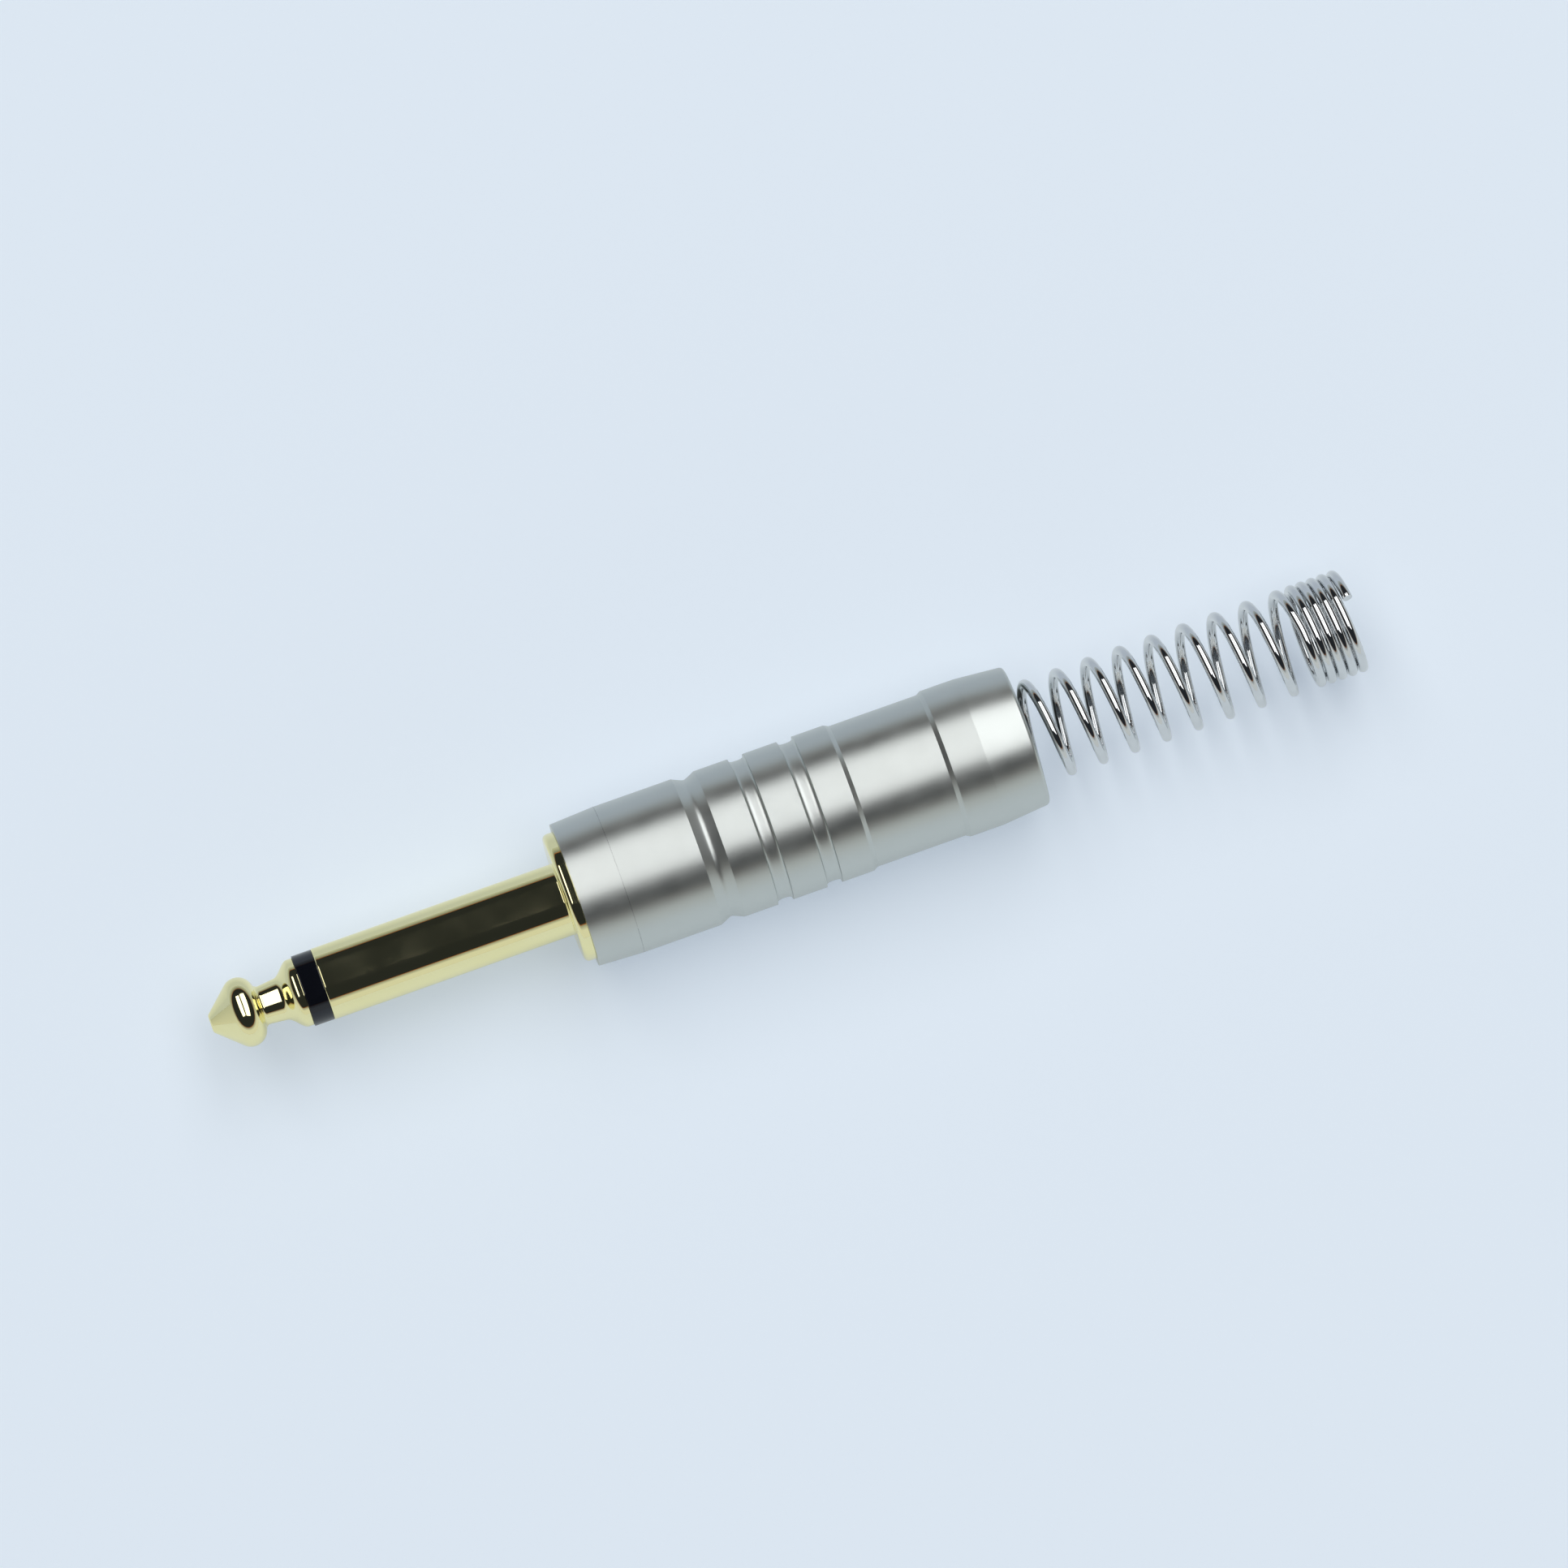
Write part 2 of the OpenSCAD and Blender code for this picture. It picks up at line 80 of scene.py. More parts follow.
class Finish:
    """The node tree of a material or of the world, built up one node at a time."""

    def __init__(self, owner):
        owner.use_nodes = True
        self.owner = owner
        self.tree = owner.node_tree
        self.tree.nodes.clear()

    def node(self, kind, settings=None, sockets=None, out=0):
        node = self.tree.nodes.new("ShaderNode" + kind)
        for name, value in (settings or {}).items():
            setattr(node, name, value)
        for name, value in (sockets or {}).items():
            if isinstance(value, Signal):
                self.tree.links.new(value.socket, node.inputs[name])
            else:
                node.inputs[name].default_value = value
        return Signal(self, node.outputs[out]) if node.outputs else None

    def place(self):
        return self.node("TexCoord", out="Object")

    def axis(self, vector, index):
        return self.node("SeparateXYZ", {}, {0: vector}, out=index)

    def noise(self, vector, size, detail=2.0):
        scale = 1 / (size * mm)
        return self.node("TexNoise", {}, {"Vector": vector, "Scale": scale, "Detail": detail})

    def band(self, value, low, high, out_low=0.0, out_high=1.0):
        """Goes from out_low to out_high as value goes from low to high, and no further."""
        return self.node("MapRange", {"clamp": True}, {
            "Value": value, "From Min": low, "From Max": high,
            "To Min": out_low, "To Max": out_high})

    def mix(self, mask, first, second):
        """The first colour where mask is 0 and the second where it is 1."""
        first, second = [(*c, 1.0) if isinstance(c, tuple) else c for c in (first, second)]
        return self.node("Mix", {"data_type": "RGBA"}, {0: mask, 6: first, 7: second}, out=2)

    def stretched(self, vector, share):
        """The same place with its distance along the plug made smaller, for lengthwise lines."""
        return self.node("VectorMath", {"operation": "MULTIPLY"}, {0: vector, 1: (share, 1.0, 1.0)})

    def surface(self, colour, sockets, relief=None, depth=0.0):
        sockets = dict(sockets)
        sockets["Base Color"] = (*colour, 1.0) if isinstance(colour, tuple) else colour
        if relief:
            bump = self.node("Bump", {}, {"Height": relief, "Distance": depth * mm})
            sockets["Normal"] = bump
        shader = self.node("BsdfPrincipled", {}, sockets)
        self.node("OutputMaterial", {}, {"Surface": shader})
        return self.owner


room = Finish(bpy.data.worlds.new("room"))
bpy.context.scene.world = room.owner
near_wall_colour = (0.68, 0.71, 0.69)
far_wall_colour = (0.45, 0.49, 0.48)
cornice_colour = (0.42, 0.16, 0.04)
ceiling_colour = (0.021, 0.024, 0.028)
wall_blend, wall_shade, wall_tilt = 0.5, 0.6, 0.12
wall_top, cornice_edge, ceiling_start = 0.325, 0.01, 0.37
direction = room.node("TexCoord", out="Generated")
away = room.axis(direction, 1)
height = room.axis(direction, 2) + away * wall_tilt
walls = room.mix(room.band(away, -wall_blend, wall_blend), near_wall_colour, far_wall_colour)
shade = room.band(height, wall_top / 2, wall_top, out_high=wall_shade)
walls = room.mix(shade, walls, ceiling_colour)
cornice_start = wall_top + cornice_edge
cornice = room.mix(room.band(height, wall_top, cornice_start), walls, cornice_colour)
sky = room.mix(room.band(height, cornice_start, ceiling_start), cornice, ceiling_colour)
room.node("OutputWorld", {}, {"Surface": room.node("Background", {}, {"Color": sky})})

table_size = 4.0
table_colour, table_roughness = (0.60, 0.65, 0.68), 0.9
table_glow = (0.285, 0.333, 0.402)
table_glow_in_metal = (0.26, 0.29, 0.31)
# The table glows for the camera, and glows more weakly in the metal's reflections, weakest on its
# far side: painted shade in the reflection of the table.
far_shaded_glow_in_metal = (0.11, 0.14, 0.19)
far_side_start, far_side_end = 5, 25
table_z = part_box("shell")[0].z
bpy.ops.object.select_all(action="DESELECT")
bpy.ops.mesh.primitive_plane_add(size=table_size, location=(0, 0, table_z))
table = bpy.context.object
table.name = "table_top"
paint = Finish(bpy.data.materials.new("table_paint"))
far_side_shade = paint.band(paint.axis(paint.place(), 1), far_side_start * mm, far_side_end * mm)
in_metal = paint.mix(far_side_shade, table_glow_in_metal, far_shaded_glow_in_metal)
in_metal = paint.mix(paint.node("LightPath", out="Is Glossy Ray"), (0.0, 0.0, 0.0), in_metal)
glow = paint.mix(paint.node("LightPath", out="Is Camera Ray"), in_metal, table_glow)
table.data.materials.append(paint.surface(table_colour, {
    "Roughness": table_roughness, "Emission Color": glow, "Emission Strength": 1.0}))


def soft_box(name, across, along, width, length, level, colour):
    """A lamp by the angles at which the plug sees it, in degrees. across is from overhead
    towards -Y, along is from overhead towards +X, width and length are how far it spreads
    that way, and level is its brightness as white."""
    lamp_distance = 3.0
    a, b = math.radians(across), math.radians(along)
    towards = Vector((math.sin(b), -math.sin(a) * math.cos(b), math.cos(a) * math.cos(b)))
    side = (Vector((1, 0, 0)) - towards * towards.x).normalized()
    turn = Matrix((side, towards.cross(side), towards)).transposed().to_euler()
    bpy.ops.object.light_add(type="AREA", location=towards * lamp_distance, rotation=turn)
    lamp = bpy.context.object
    lamp.name = name
    lamp.data.shape = "RECTANGLE"
    lamp.data.size = 2 * lamp_distance * math.tan(math.radians(length / 2))
    lamp.data.size_y = 2 * lamp_distance * math.tan(math.radians(width / 2))
    lamp.data.energy = level * math.pi * lamp.data.size * lamp.data.size_y
    lamp.data.color = colour


soft_box("large_soft_box", across=-15, along=21, width=76, length=32, level=2.0,
         colour=(1, 1, 1))
soft_box("small_soft_box", across=-15, along=-15, width=70, length=22, level=2.2,
         colour=(1, 0.99, 0.98))

picture_px = 1932
px_per_mm = 14.5
sensor_mm = 36.0
camera_distance = 1.2
camera_turn = math.radians(-19.74)
camera_rise = math.radians(80.6)
aim = Vector((21.0, 2.99, 0)) * mm
back = Vector((math.sin(camera_turn) * math.cos(camera_rise),
               -math.cos(camera_turn) * math.cos(camera_rise), math.sin(camera_rise)))
bpy.ops.object.camera_add(location=aim + back * camera_distance,
                          rotation=back.to_track_quat("Z", "Y").to_euler())
camera = bpy.context.object
camera.data.sensor_width = sensor_mm
camera.data.lens = px_per_mm * camera_distance / mm / picture_px * sensor_mm
bpy.context.scene.camera = camera
bpy.context.scene.view_settings.view_transform = "Standard"

# Tip: the point, the ball that a socket's spring drops behind, the neck and the rim, turned from
# one brass bar with the rod that carries it, and gold plated. The rod's rear end is riveted over
# the tip's solder tag.


def arc(centre, r, start, end, steps):
    """Points of an arc round a centre, from one angle in degrees to another."""
    angles = [math.radians(start + (end - start) * i / steps) for i in range(steps + 1)]
    return [(centre[0] + r * math.cos(a), centre[1] + r * math.sin(a)) for a in angles]


def rise(start, end, steps=20):
    """A smooth rise from one (distance, radius) point to another, level at both ends."""
    return [(start[0] + (end[0] - start[0]) * i / steps,
             start[1] + (end[1] - start[1]) * (1 - math.cos(math.pi * i / steps)) / 2)
            for i in range(steps + 1)]


def pick(piece):
    """Selects one piece alone, for the operators that follow."""
    bpy.ops.object.select_all(action="DESELECT")
    piece.select_set(True)
    bpy.context.view_layer.objects.active = piece


double_gap = 0.001


def tidy(piece, crease=30.0):
    """Merges doubles, turns faces outwards and smooths the edges up to the crease angle."""
    pick(piece)
    bpy.ops.object.mode_set(mode="EDIT")
    bpy.ops.mesh.select_all(action="SELECT")
    bpy.ops.mesh.remove_doubles(threshold=double_gap * mm)
    bpy.ops.mesh.normals_make_consistent(inside=False)
    bpy.ops.object.mode_set(mode="OBJECT")
    bpy.ops.object.shade_smooth_by_angle(angle=math.radians(crease))
    level = piece.modifiers.new("level", "WEIGHTED_NORMAL")
    level.keep_sharp = True
    bpy.ops.object.modifier_apply(modifier=level.name)


def drawn(name, outline):
    """One edge after another through an outline of (distance along the plug, radius) points."""
    bpy.ops.object.select_all(action="DESELECT")
    bpy.ops.mesh.primitive_plane_add(size=mm, location=(0, 0, 0))
    piece = bpy.context.object
    piece.name = name
    bpy.ops.object.mode_set(mode="EDIT")
    bpy.ops.mesh.select_all(action="SELECT")
    bpy.ops.mesh.merge(type="CENTER")
    points = [Vector((x, r, 0)) * mm for x, r in outline]
    bpy.ops.transform.translate(value=points[0])
    for here, there in zip(points, points[1:]):
        bpy.ops.mesh.extrude_region_move(TRANSFORM_OT_translate={"value": there - here})
    bpy.ops.object.mode_set(mode="OBJECT")
    return piece


def held(outline, hold=0.03, long=0.15):
    """Adds a point near both ends of each long straight, which keeps it flat beside a rounding."""
    points = [outline[0]]
    for (x, r), (next_x, next_r) in zip(outline, outline[1:]):
        length = math.hypot(next_x - x, next_r - r)
        if length > long:
            points += [(x + (next_x - x) * share, r + (next_r - r) * share)
                       for share in (hold / length, 1 - hold / length)]
        points.append((next_x, next_r))
    return points


def turned(name, outline, steps=192):
    """Turns an outline round the plug's axis."""
    piece = drawn(name, held(outline))
    bpy.ops.object.mode_set(mode="EDIT")
    bpy.ops.mesh.select_all(action="SELECT")
    bpy.ops.mesh.spin(steps=steps, angle=math.tau, center=(0, 0, 0), axis=(1, 0, 0))
    bpy.ops.object.mode_set(mode="OBJECT")
    tidy(piece)
    return piece


def dress(piece, body, node, finish):
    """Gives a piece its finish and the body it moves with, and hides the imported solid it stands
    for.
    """
    piece.data.materials.clear()
    piece.data.materials.append(finish)
    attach(piece, body)
    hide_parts(node)


def gold_plate():
    """Pale gold over turned brass: very fine turning lines and a faint haze from handling."""
    finish = Finish(bpy.data.materials.new("gold_plate"))
    place = finish.place()
    line_w = 0.03
    lines = finish.node("TexNoise", {"noise_dimensions": "1D"}, {
        "W": finish.axis(place, 0), "Scale": 1 / (line_w * mm), "Detail": 3.0})
    haze = finish.noise(place, size=2.5, detail=4.0)
    tint = finish.mix(haze, (0.93, 0.86, 0.45), (0.95, 0.89, 0.53))
    rough = finish.band(haze, 0.3, 0.8, out_low=0.04, out_high=0.08)
    return finish.surface(tint, {"Metallic": 1.0, "Roughness": rough}, relief=lines, depth=0.0002)


gold = gold_plate()
tip_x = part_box("tip_contact")[0].x / mm
rod_end_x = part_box("tip_contact")[1].x / mm
ring_front_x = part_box("tip_ring")[0].x / mm
point_r, point_edge_r, point_angle = 0.6, 0.35, 42.5
ball_r, ball_edge_r, ball_back, ball_back_angle = 3.05, 1.4, 3.04, 15.0
neck_r, neck_rear_r = 1.7, 1.85
flare_length, rim_w, rim_r = 1.65, 0.45, 3.0
rod_r, rivet_r, rivet_top_r, rivet_t = 1.2, 1.8, 0.72, 0.7
back_angle = math.radians(ball_back_angle)
ball_fillet_r = (ball_r - neck_r) / (1 - math.sin(back_angle)) - ball_edge_r
edge_centre = (tip_x + ball_back, ball_r - ball_edge_r)
neck_x = edge_centre[0] + (ball_edge_r + ball_fillet_r) * math.cos(back_angle)
flare_x = ring_front_x - rim_w - flare_length
rivet_x = rod_end_x - rivet_t
edge = 0.06
tip = turned("turned_tip", (
    [(tip_x, 0.0)]
    + arc((tip_x + point_edge_r, point_r), point_edge_r, 180, 90 + point_angle, 10)
    + arc(edge_centre, ball_edge_r, 90 + point_angle, ball_back_angle, 48)
    + arc((neck_x, neck_r + ball_fillet_r), ball_fillet_r, 180 + ball_back_angle, 270, 16)
    + rise((flare_x, neck_rear_r), (ring_front_x - rim_w, rim_r))
    + arc((ring_front_x - edge, rim_r - edge), edge, 90, 0, 4)
    + [(ring_front_x, rod_r), (rivet_x, rod_r), (rivet_x, rivet_r)]
    + rise((rivet_x + rivet_t / 2, rivet_r), (rod_end_x, rivet_top_r), 8)
    + [(rod_end_x, 0.0)]
))
dress(tip, "plug", "tip_contact", gold)

# Insulating ring between tip and sleeve: glossy black moulding, pushed onto the rod, with a spigot
# inside the sleeve's mouth.


def black_moulding():
    """Glossy black plastic with a faint unevenness from the mould."""
    finish = Finish(bpy.data.materials.new("black_moulding"))
    swirl = finish.noise(finish.place(), size=0.8, detail=3.0)
    tint = finish.mix(swirl, (0.003, 0.0035, 0.006), (0.006, 0.007, 0.011))
    sheen = (0.85, 0.90, 1.0, 1.0)
    rough = finish.band(swirl, 0.2, 0.8, out_low=0.03, out_high=0.06)
    return finish.surface(tint, {"Roughness": rough, "IOR": 1.5, "Specular Tint": sheen},
                          relief=swirl, depth=0.0005)


black = black_moulding()
ring_rear_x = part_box("ground_sleeve")[0].x / mm
spigot_end_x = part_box("tip_ring")[1].x / mm
ring_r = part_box("tip_ring")[1].y / mm
core_r, core_bore_r = 2.15, 1.25
ring_edge = 0.03
ring = turned("insulating_ring", (
    [(ring_front_x, core_bore_r)]
    + arc((ring_front_x + ring_edge, ring_r - ring_edge), ring_edge, 180, 90, 3)
    + arc((ring_rear_x - ring_edge, ring_r - ring_edge), ring_edge, 90, 0, 3)
    + [(ring_rear_x, core_r), (spigot_end_x, core_r), (spigot_end_x, core_bore_r),
       (ring_front_x, core_bore_r)]
))
dress(ring, "plug", "tip_ring", black)

# Core tube: natural plastic tube over the rod, which keeps the tip's rod off the sleeve. It is
# pushed in from the rear, between the ring's spigot and the bush's spigot.


def natural_plastic():
    """Waxy off-white plastic with faint lengthwise lines from the extruder."""
    finish = Finish(bpy.data.materials.new("natural_plastic"))
    place = finish.place()
    cloud = finish.noise(place, size=1.5, detail=3.0)
    lines = finish.noise(finish.stretched(place, 0.02), size=0.12)
    tint = finish.mix(cloud, (0.80, 0.77, 0.68), (0.86, 0.84, 0.77))
    rough = finish.band(cloud, 0.2, 0.8, out_low=0.38, out_high=0.50)
    return finish.surface(tint, {"Roughness": rough, "IOR": 1.5}, relief=lines, depth=0.004)


core_front_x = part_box("core_tube")[0].x / mm
core_rear_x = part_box("core_tube")[1].x / mm
core = turned("core_tube_piece", [
    (core_front_x, core_bore_r), (core_front_x, core_r), (core_rear_x, core_r),
    (core_rear_x, core_bore_r), (core_front_x, core_bore_r),
])
dress(core, "plug", "core_tube", natural_plastic())

# Ground sleeve: sleeve contact, rounded collar, relief groove, threaded body and rear spigot,
# turned from one brass bar and gold plated. The thread is cut at 0.75 mm a turn, right-handed, and
# the spigot's rim is riveted over the cable clamp.


def combine(piece, other, operation):
    """Joins, cuts or intersects a piece with another, which is used up."""
    pick(piece)
    step = piece.modifiers.new("step", "BOOLEAN")
    step.operation = operation
    step.solver = "MANIFOLD"
    step.object = other
    bpy.ops.object.modifier_apply(modifier=step.name)
    bpy.data.objects.remove(other)


def threaded_rod(name, crest_r, root_r, crest_w, start, end, steps=96):
    """A rod with a right-hand thread of 60 degrees, cut off square at both ends. Its crests pass
    towards +Y at whole pitches from the origin, so rods of one pitch are in step."""
    cut_gap, flank_angle = 0.00001, 30.0
    flank = (crest_r - root_r) * math.tan(math.radians(flank_angle))
    first_x = (math.floor(start / thread_pitch) - 2) * thread_pitch
    turns = math.ceil((end - start) / thread_pitch) + 4
    ridge = [(-thread_pitch / 2, root_r), (-crest_w / 2 - flank, root_r), (-crest_w / 2, crest_r),
             (crest_w / 2, crest_r), (crest_w / 2 + flank, root_r), (thread_pitch / 2, root_r)]
    rod = drawn(name, [(first_x + x, r) for x, r in ridge])
    coil = rod.modifiers.new("coil", "SCREW")
    coil.axis = "X"
    coil.angle = math.tau
    coil.screw_offset = thread_pitch * mm
    coil.iterations = turns
    coil.steps = steps
    coil.render_steps = steps
    bpy.ops.object.modifier_apply(modifier=coil.name)
    bpy.ops.object.mode_set(mode="EDIT")
    bpy.ops.mesh.select_all(action="SELECT")
    bpy.ops.mesh.remove_doubles(threshold=double_gap * mm)
    bpy.ops.mesh.bisect(plane_co=(start * mm, 0, 0), plane_no=(1, 0, 0), threshold=cut_gap * mm,
                        use_fill=True, clear_inner=True)
    bpy.ops.mesh.select_all(action="SELECT")
    bpy.ops.mesh.bisect(plane_co=(end * mm, 0, 0), plane_no=(1, 0, 0), threshold=cut_gap * mm,
                        use_fill=True, clear_outer=True)
    bpy.ops.mesh.select_all(action="SELECT")
    bpy.ops.mesh.normals_make_consistent(inside=False)
    bpy.ops.object.mode_set(mode="OBJECT")
    return rod


sleeve_r, sleeve_bore_r, sleeve_edge = 3.175, 2.2, 0.12
collar_r, collar_t, collar_edge, collar_rear_edge = 5.7, 1.03, 0.5, 0.02
thread_pitch, thread_r, thread_root_r, thread_crest_w = 0.75, 5.25, 4.83, 0.10
thread_body_r, thread_bevel, lead_in, crest_room = 4.6, 0.5, 0.5, 0.02
relief_r, relief_w = 4.75, 0.45
clamp_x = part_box("cable_clamp")[0].x / mm
clamp_t = 0.6
spigot_r, spigot_rim_r, spigot_end_r = 2.8, 3.1, 2.65
sleeve_rear_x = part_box("ground_sleeve")[1].x / mm
rim_x = clamp_x + clamp_t
rim_middle_x = (rim_x + sleeve_rear_x) / 2
relief_end_x = collar_t + relief_w
body_end_x = clamp_x - 0.13
rod_past, blank_past, blank_dip, bore_past = 0.1, 0.12, 0.1, 1.0
sleeve = turned("turned_sleeve", (
    [(ring_rear_x, 0.0)]
    + arc((ring_rear_x + sleeve_edge, sleeve_r - sleeve_edge), sleeve_edge, 180, 90, 4)
    + arc((-sleeve_edge, sleeve_r + sleeve_edge), sleeve_edge, 270, 360, 4)
    + arc((collar_edge, collar_r - collar_edge), collar_edge, 180, 90, 20)
    + arc((collar_t - collar_rear_edge, collar_r - collar_rear_edge), collar_rear_edge, 90, 0, 3)
    + [(collar_t, relief_r), (relief_end_x, relief_r), (relief_end_x, thread_body_r),
       (body_end_x, thread_body_r), (body_end_x, spigot_r), (rim_x, spigot_r)]
    + [(rim_x, spigot_rim_r), (rim_middle_x, spigot_rim_r)]
    + rise((rim_middle_x, spigot_rim_r), (sleeve_rear_x, spigot_end_r), 8)
    + [(sleeve_rear_x, 0.0)]
))
thread = threaded_rod("sleeve_thread", thread_r, thread_root_r, thread_crest_w,
                      relief_end_x - rod_past, clamp_x + rod_past)
blank = turned("thread_blank", [
    (relief_end_x - blank_past, 0.0), (relief_end_x - blank_past, relief_r - blank_dip),
    (relief_end_x + lead_in, thread_r + crest_room),
    (clamp_x - thread_bevel, thread_r + crest_room),
    (clamp_x, thread_r - thread_bevel), (clamp_x, 0.0),
])
combine(thread, blank, "INTERSECT")
combine(sleeve, thread, "UNION")
bore = turned("sleeve_bore", [
    (ring_rear_x - bore_past, 0.0), (ring_rear_x - bore_past, sleeve_bore_r),
    (sleeve_rear_x + bore_past, sleeve_bore_r), (sleeve_rear_x + bore_past, 0.0),
], steps=128)
combine(sleeve, bore, "DIFFERENCE")
tidy(sleeve)
dress(sleeve, "plug", "ground_sleeve", gold)

# Rear bush: black moulding whose flange keeps the tip's solder tag off the riveted spigot, with a
# spigot of its own that centres it in the sleeve's bore.
bush_spigot_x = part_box("rear_bush")[0].x / mm
bush_rear_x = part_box("rear_bush")[1].x / mm
bush_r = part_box("rear_bush")[1].y / mm
bush = turned("insulating_bush", (
    [(bush_spigot_x, core_bore_r), (bush_spigot_x, core_r), (sleeve_rear_x, core_r)]
    + arc((sleeve_rear_x + edge, bush_r - edge), edge, 180, 90, 3)
    + arc((bush_rear_x - edge, bush_r - edge), edge, 90, 0, 3)
    + [(bush_rear_x, core_bore_r), (bush_spigot_x, core_bore_r)]
))
dress(bush, "plug", "rear_bush", black)

# Solder tag of the tip and cable clamp of the sleeve: tinned brass sheet, stamped and folded. The
# tag's eye sits under the rod's riveted head and the clamp's eye under the spigot's rim, and the
# clamp's two claws are pressed round the cable.


def tinned_sheet():
    """Dull tin over brass: rolling lines along the strip, and cloudy patches where the tin ran."""
    finish = Finish(bpy.data.materials.new("tinned_sheet"))
    place = finish.place()
    cloud = finish.noise(place, size=0.9, detail=5.0)
    lines = finish.noise(finish.stretched(place, 0.04), size=0.06, detail=3.0)
    tint = finish.mix(cloud, (0.60, 0.59, 0.56), (0.76, 0.76, 0.75))
    rough = finish.band(cloud, 0.3, 0.7, out_low=0.26, out_high=0.42)
    return finish.surface(tint, {"Metallic": 1.0, "Roughness": rough}, relief=lines, depth=0.003)


def soften(piece, width, angle=40.0):
    """Rounds all edges that are sharper than an angle."""
    pick(piece)
    bevel = piece.modifiers.new("edges", "BEVEL")
    bevel.width = width * mm
    bevel.segments = 2
    bevel.limit_method = "ANGLE"
    bevel.angle_limit = math.radians(angle)
    bpy.ops.object.modifier_apply(modifier=bevel.name)


def stamped(name, node, broken_edge):
    """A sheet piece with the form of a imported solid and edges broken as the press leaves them.
    Slivers shorter than sliver are merged and flat faces joined, so that the edges break evenly."""
    sliver, flat_angle = 0.01, 1.0
    piece = bpy.data.objects.new(name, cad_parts[node].data.copy())
    bpy.context.collection.objects.link(piece)
    pick(piece)
    bpy.ops.object.mode_set(mode="EDIT")
    bpy.ops.mesh.select_all(action="SELECT")
    bpy.ops.mesh.remove_doubles(threshold=sliver * mm)
    bpy.ops.mesh.dissolve_limited(angle_limit=math.radians(flat_angle))
    bpy.ops.object.mode_set(mode="OBJECT")
    soften(piece, broken_edge)
    tidy(piece)
    return piece


tinned = tinned_sheet()
tag = stamped("stamped_tag", "tip_tag", broken_edge=0.05)
dress(tag, "plug", "tip_tag", tinned)
clamp = stamped("folded_clamp", "cable_clamp", broken_edge=0.06)
dress(clamp, "plug", "cable_clamp", tinned)

# Insulating sleeve: loose tube of white film between the terminals and the shell, which slides off
# over the cable with the shell.


def liner_film():
    """Thin white plastic tube, a little uneven where it was drawn."""
    finish = Finish(bpy.data.materials.new("liner_film"))
    cloud = finish.noise(finish.place(), size=3.0, detail=4.0)
    tint = finish.mix(cloud, (0.84, 0.85, 0.84), (0.90, 0.91, 0.90))
    rough = finish.band(cloud, 0.3, 0.7, out_low=0.30, out_high=0.42)
    return finish.surface(tint, {"Roughness": rough, "IOR": 1.5}, relief=cloud, depth=0.01)


liner_front_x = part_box("insulating_sleeve")[0].x / mm
liner_rear_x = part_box("insulating_sleeve")[1].x / mm
liner_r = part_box("insulating_sleeve")[1].y / mm
liner_wall = 0.45
liner_bore_r = liner_r - liner_wall
liner = turned("white_liner", [
    (liner_front_x, liner_bore_r), (liner_front_x, liner_r), (liner_rear_x, liner_r),
    (liner_rear_x, liner_bore_r), (liner_front_x, liner_bore_r),
])
dress(liner, "liner", "insulating_sleeve", liner_film())

# Shell: turned brass with a fine satin nickel plate, screwed onto the sleeve. It has a slight
# taper to the front, three finger grooves, a narrower band, a rear taper, and a lip that holds
# the spring.


def satin_nickel(mark_x, mark_w=0.05):
    """Pearl nickel: an even fine grain, faint clouds where hands have polished it, and a broken
    hairline at mark_x, where the turning tool changed its path."""
    finish = Finish(bpy.data.materials.new("satin_nickel"))
    place = finish.place()
    grain = finish.noise(place, size=0.05)
    cloud = finish.noise(place, size=2.0, detail=3.0)
    tint = finish.mix(cloud, (0.565, 0.595, 0.58), (0.61, 0.64, 0.625))
    off_mark = finish.axis(place, 0) - mark_x * mm
    off_mark = finish.node("Math", {"operation": "ABSOLUTE"}, {0: off_mark})
    on_mark = 1.0 - finish.band(off_mark, 0.0, mark_w * mm)
    tint = finish.mix(on_mark * finish.band(grain, 0.45, 0.55), tint, (0.20, 0.21, 0.22))
    rough = finish.band(cloud, 0.3, 0.7, out_low=0.32, out_high=0.36)
    return finish.surface(tint, {"Metallic": 1.0, "Roughness": rough}, relief=grain, depth=0.003)


def across(steps):
    """Places across a groove from -1 to 1, closer together towards its two edges."""
    return [-math.cos(math.pi * i / steps) for i in range(steps + 1)]


def v_groove(x, steps=32):
    """Points of the first finger groove, a V with a rounded bottom."""
    walls = [math.hypot(t, v_groove_round) - v_groove_round for t in across(steps)]
    return [(x + v_groove_w * (1 + t) / 2, land_r - v_groove_depth * (1 - wall / walls[0]))
            for t, wall in zip(across(steps), walls)]


def open_groove(x, steps=32):
    """Points of a finger groove with an open floor and steep walls."""
    return [(x + groove_w * (1 + t) / 2,
             land_r - groove_depth * (1 - min(1.0, abs(t)) ** groove_flat) ** (1 / groove_flat))
            for t in across(steps)]


shell_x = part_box("shell")[0].x / mm
shell_rear_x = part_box("shell")[1].x / mm
land_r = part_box("shell")[1].y / mm
shell_front_r, shell_rear_r, band_r = 6.35, 6.2, 6.325
front_taper, rear_taper, rear_edge = 3.95, 4.25, 0.35
groove_1_x, v_groove_w, v_groove_depth, v_groove_round = shell_x + 10.97, 2.05, 0.42, 0.15
groove_w, groove_depth, groove_flat, groove_land_w = 1.4, 0.36, 3.0, 3.03
band_land_w, rear_land_w, band_step = 2.85, 3.05, 0.4
shell_bore_r, lip_t, lip_hole_r, lip_bevel = 4.9, 1.6, 4.675, 0.3
mouth_r, thread_gap, relief_room, end_gap = 5.5, 0.05, 0.07, 0.1
tap_past, tap_dip, shell_edge = 0.5, 0.05, 0.06
taper_x = shell_rear_x - rear_taper
taper_angle = math.degrees(math.atan((land_r - shell_rear_r) / rear_taper))
groove_2_x = groove_1_x + v_groove_w + groove_land_w
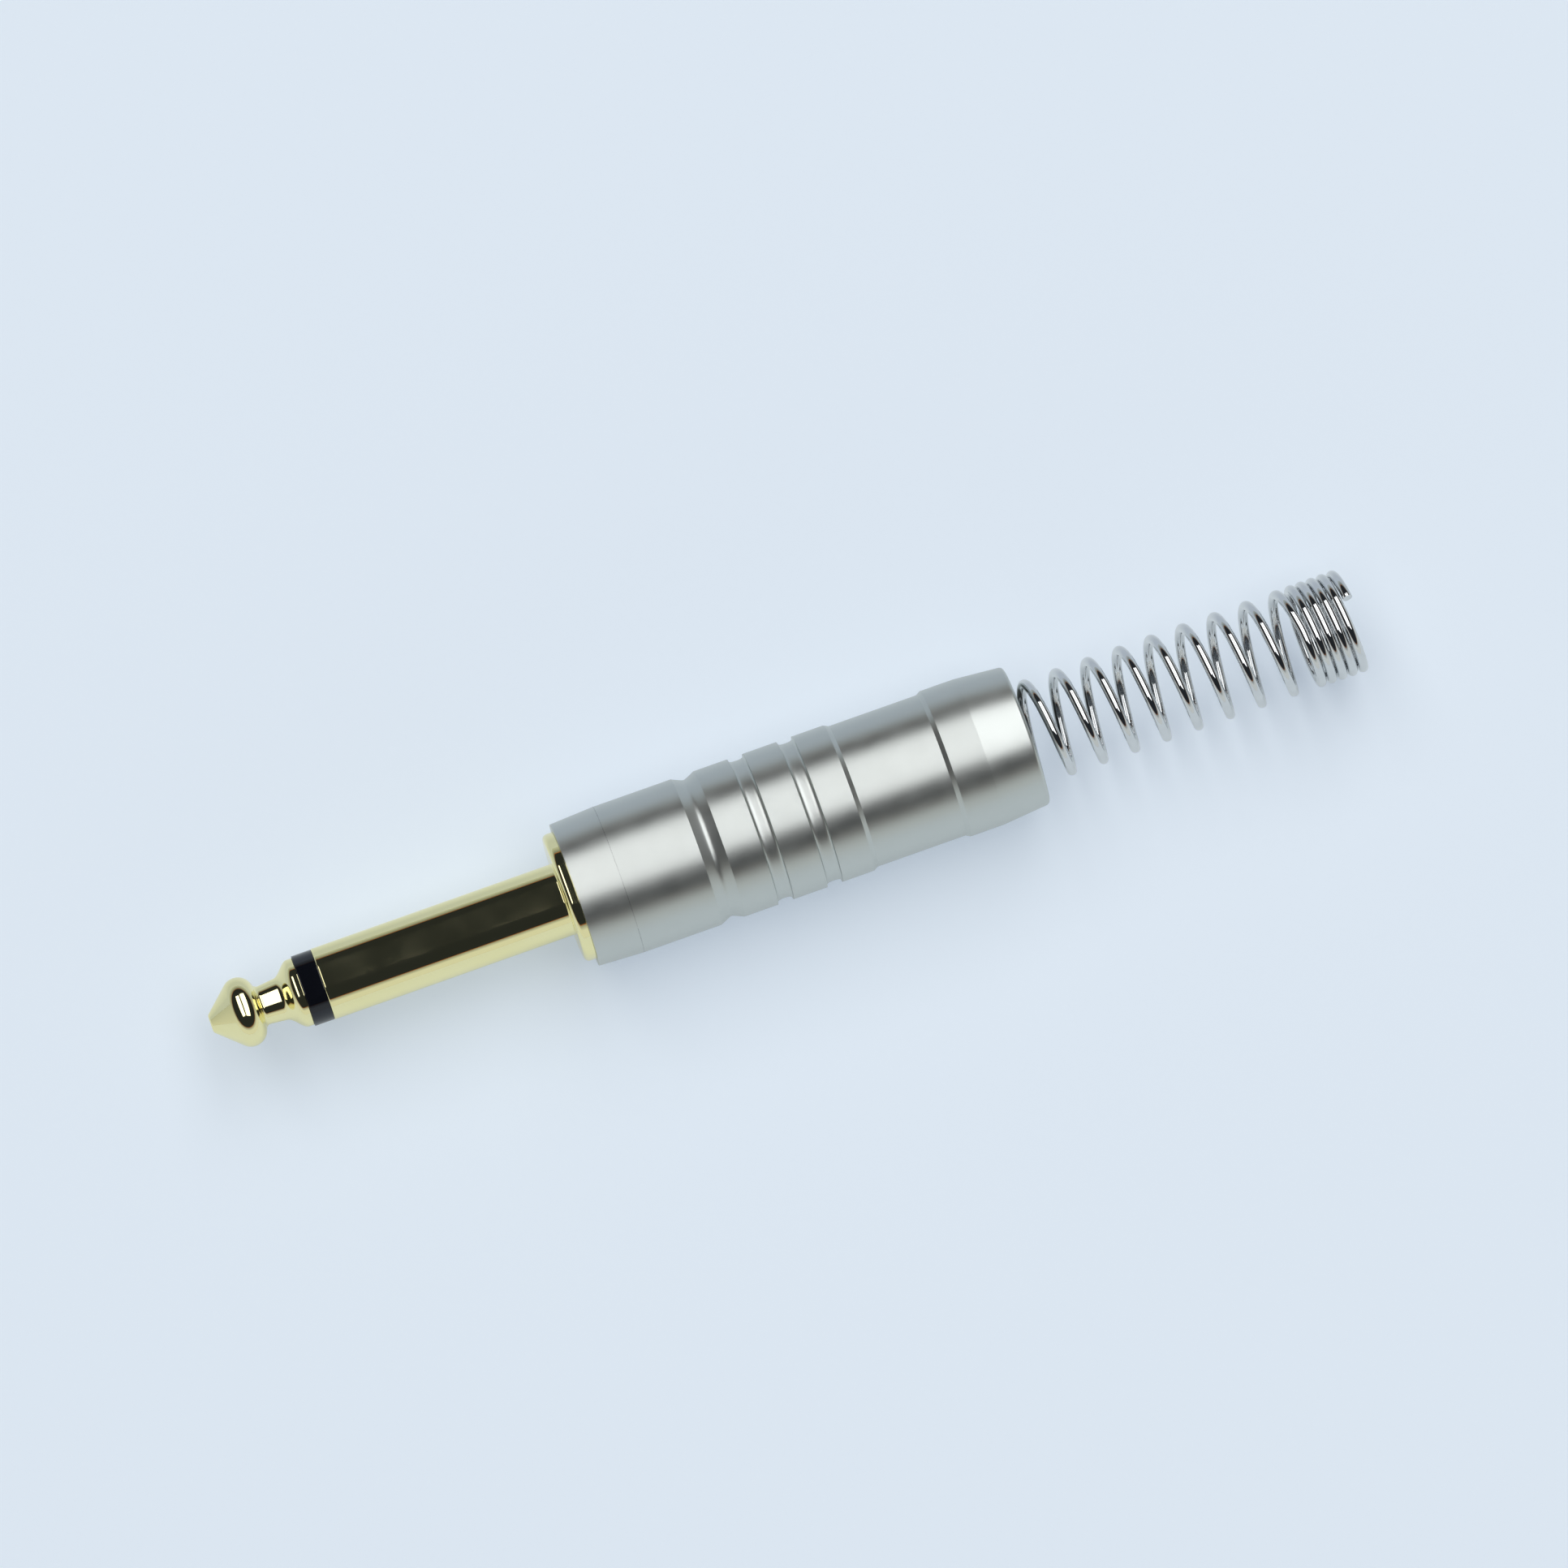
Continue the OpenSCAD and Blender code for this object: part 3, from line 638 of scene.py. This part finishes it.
groove_3_x = groove_2_x + groove_w + groove_land_w
band_x = groove_3_x + groove_w + band_land_w
band_end_x = taper_x - rear_land_w
relief_x = clamp_x + end_gap
bore_x = liner_front_x - end_gap
lip_x = shell_rear_x - lip_t
shell_relief_r = thread_r + relief_room
shell = turned("satin_shell", (
    [(shell_x, mouth_r), (shell_x, shell_front_r), (shell_x + front_taper, land_r)]
    + v_groove(groove_1_x)
    + open_groove(groove_2_x)
    + open_groove(groove_3_x)
    + [(band_x, land_r), (band_x + band_step, band_r)]
    + [(band_end_x - band_step, band_r), (band_end_x, land_r), (taper_x, land_r)]
    + arc((shell_rear_x - rear_edge, shell_rear_r - rear_edge), rear_edge, 90 - taper_angle, 0, 10)
    + [(shell_rear_x, lip_hole_r + lip_bevel), (shell_rear_x - lip_bevel, lip_hole_r)]
    + [(lip_x, lip_hole_r), (lip_x, shell_bore_r), (bore_x, shell_bore_r)]
    + [(bore_x, shell_relief_r), (relief_x, shell_relief_r), (relief_x, shell_bore_r)]
    + [(shell_x + mouth_r - shell_bore_r, shell_bore_r), (shell_x, mouth_r)]
))
soften(shell, shell_edge, angle=20.0)
tap = threaded_rod("shell_tap", thread_r + thread_gap, shell_bore_r - tap_dip,
                   thread_crest_w + thread_gap, shell_x - tap_past, (relief_x + bore_x) / 2)
combine(shell, tap, "DIFFERENCE")
tidy(shell)
dress(shell, "shell", "shell", satin_nickel(shell_x + front_taper))

# Spring: one length of bright round wire wound into a right-hand helix. Its first coils are wider
# and are trapped behind the shell's lip, then come the open coils, and the last ones lie close.

bright = Finish(bpy.data.materials.new("bright_wire"))
smear = bright.noise(bright.place(), size=1.2, detail=4.0)
bright_wire = bright.surface(bright.mix(smear, (0.64, 0.66, 0.68), (0.74, 0.76, 0.77)), {
    "Metallic": 1.0, "Roughness": bright.band(smear, 0.3, 0.8, out_low=0.03, out_high=0.07)})
wire_r, coil_r, held_coil_r = 0.43, 4.145, 4.37
open_pitch, closed_pitch, closed_lean = 2.865, 0.9417, 0.2
open_turns, closed_turns, held_turns, widen_turns = 8.25, 4.95, 1.5, 0.3
first_crest_x = shell_rear_x + 1.2
held_x = lip_x - end_gap - wire_r
held_turn = (held_x - first_crest_x) / open_pitch
coil_steps = 96


def wire_point(turn):
    """The wire's centre at a turn, counted from the first open coil's crest towards +Y."""
    lean = closed_lean * min(1.0, max(0.0, turn - open_turns + 1)) * math.cos(math.tau * turn)
    if turn < held_turn:
        x = held_x + (turn - held_turn) * closed_pitch
    else:
        x = (first_crest_x + min(turn, open_turns) * open_pitch
             + max(0.0, turn - open_turns) * closed_pitch - lean)
    widening = min(1.0, max(0.0, (held_turn - turn) / widen_turns))
    r = coil_r + (held_coil_r - coil_r) * (1 - math.cos(math.pi * widening)) / 2
    return Vector((x, r * math.cos(math.tau * turn), r * math.sin(math.tau * turn))) * mm


start_turn = held_turn - held_turns
end_turn = open_turns + closed_turns
count = round((end_turn - start_turn) * coil_steps)
bpy.ops.object.select_all(action="DESELECT")
bpy.ops.curve.primitive_nurbs_path_add(location=(0, 0, 0))
wire = bpy.context.object
wire.name = "guard_spring"
wire.data.splines.clear()
helix = wire.data.splines.new("POLY")
helix.points.add(count)
for i, point in enumerate(helix.points):
    turn = start_turn + (end_turn - start_turn) * i / count
    point.co = (*wire_point(turn), 1.0)
wire.data.bevel_depth = wire_r * mm
wire.data.bevel_resolution = 10
wire.data.use_fill_caps = True
bpy.ops.object.convert(target="MESH")
wire = bpy.context.object
tidy(wire, crease=40.0)
dress(wire, "spring", "tail_spring", bright_wire)
